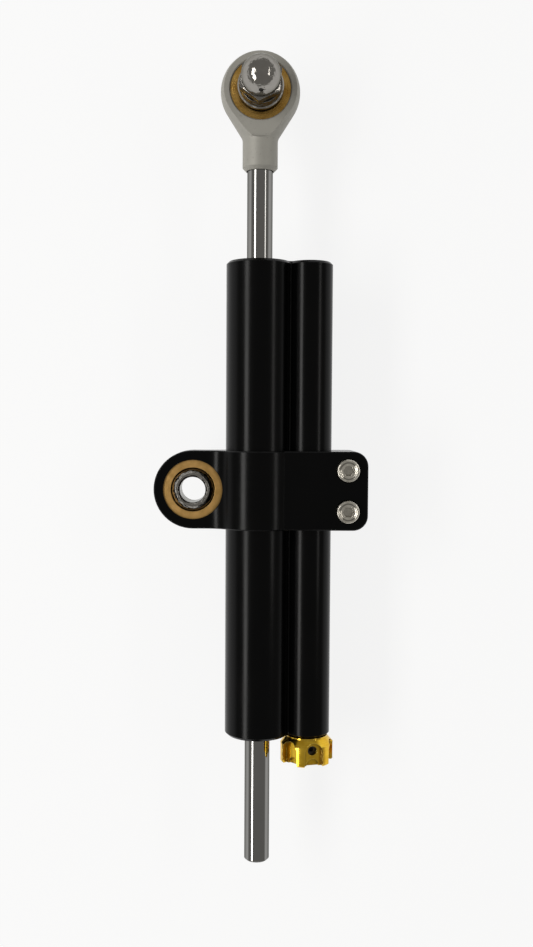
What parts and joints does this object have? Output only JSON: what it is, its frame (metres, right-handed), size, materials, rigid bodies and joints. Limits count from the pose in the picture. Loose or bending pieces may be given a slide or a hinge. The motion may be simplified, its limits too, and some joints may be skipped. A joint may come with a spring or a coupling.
{
  "type": "motorcycle steering damper",
  "caption": "Linear steering damper: a black two-lobed body with a through rod, a rod end with a domed nut, a side clamp with a bearing, and a gold adjuster knob.",
  "frame": {"origin": "centre of the bore of the clamp's spherical bearing", "axes": "+Y along the piston rod towards its rod end, +Z along the clamp bearing's bore towards the side of the cap screws and the dome nut, +X from that bearing across the body"},
  "size_m": [0.0667, 0.2557, 0.0457],
  "materials": {
    "black_anodised": "satin anodised",
    "blasted_aluminium": "bead blasted",
    "machined_aluminium": "turned",
    "gold_anodised": "bright anodised",
    "chrome": "polished hard chrome",
    "stainless": "satin stainless",
    "spring_steel": "phosphated",
    "brass": "turned",
    "black_rubber": "matte",
    "seal_plastic": "matte"
  },
  "bodies": {
    "housing": {"body": "black_anodised", "clamp": "black_anodised", "clamp_race": "brass", "clamp_screws": "stainless", "valve_body": "brass", "valve_orings": "black_rubber", "valve_seat": "stainless", "detent_ball": "chrome", "detent_spring": "spring_steel", "compensator_plug": "machined_aluminium", "plug_oring": "black_rubber", "compensator_spring": "spring_steel", "top_guide": "machined_aluminium", "top_bush": "brass", "top_rod_seal": "seal_plastic", "top_wiper": "black_rubber", "top_guide_oring": "black_rubber", "top_circlip": "spring_steel", "bottom_guide": "machined_aluminium", "bottom_bush": "brass", "bottom_rod_seal": "seal_plastic", "bottom_wiper": "black_rubber", "bottom_guide_oring": "black_rubber", "bottom_circlip": "spring_steel"},
    "piston": {"piston": "machined_aluminium", "piston_ring": "seal_plastic"},
    "rod": {"piston_rod": "chrome", "piston_clips": "spring_steel", "rod_end": "blasted_aluminium", "rod_end_race": "brass"},
    "rod_end_ball": {"rod_end_ball": "chrome"},
    "stud": {"mounting_stud": "chrome", "stud_collar": "chrome", "dome_nut": "chrome"},
    "clamp_ball": {"clamp_ball": "chrome"},
    "adjuster": {"adjuster_knob": "gold_anodised", "adjuster_spindle": "stainless", "spindle_oring": "black_rubber", "knob_grub_screw": "spring_steel"},
    "needle": {"metering_needle": "stainless"},
    "compensator": {"floating_piston": "machined_aluminium", "floating_oring": "black_rubber"}
  },
  "joints": [
    {"name": "rod_slide", "type": "slide", "parent": "housing", "child": "piston", "axis": [0, 1, 0], "range_m": [-0.0275, 0.0405]},
    {"name": "rod_spin", "type": "hinge", "parent": "piston", "child": "rod", "pos_m": [0.0206, 0, 0], "axis": [0, 1, 0], "continuous": true},
    {"name": "rod_end_tilt", "type": "hinge", "parent": "rod", "child": "rod_end_ball", "pos_m": [0.0206, 0.1236, 0], "axis": [1, 0, 0], "range_deg": [-10, 10]},
    {"name": "stud_spin", "type": "hinge", "parent": "rod_end_ball", "child": "stud", "pos_m": [0.0206, 0.1236, 0], "axis": [0, 0, 1], "continuous": true},
    {"name": "clamp_ball_swing", "type": "hinge", "parent": "housing", "child": "clamp_ball", "pos_m": [0, 0, 0], "axis": [0, 0, 1], "continuous": true},
    {"name": "adjuster_turn", "type": "hinge", "parent": "housing", "child": "adjuster", "pos_m": [0.0365, 0, 0], "axis": [0, 1, 0], "range_deg": [-450, 450]},
    {"name": "needle_slide", "type": "slide", "parent": "housing", "child": "needle", "axis": [0, 1, 0], "range_m": [-0.0008, 0.0008]},
    {"name": "compensator_slide", "type": "slide", "parent": "housing", "child": "compensator", "axis": [0, 1, 0], "range_m": [-0.002, 0.002], "stiffness_N_per_m": 400, "deforming": ["compensator_spring"]}
  ],
  "couplings": [
    {"joint": "needle_slide", "follows": "adjuster_turn", "m_per_rad": 0.000079577}
  ]
}
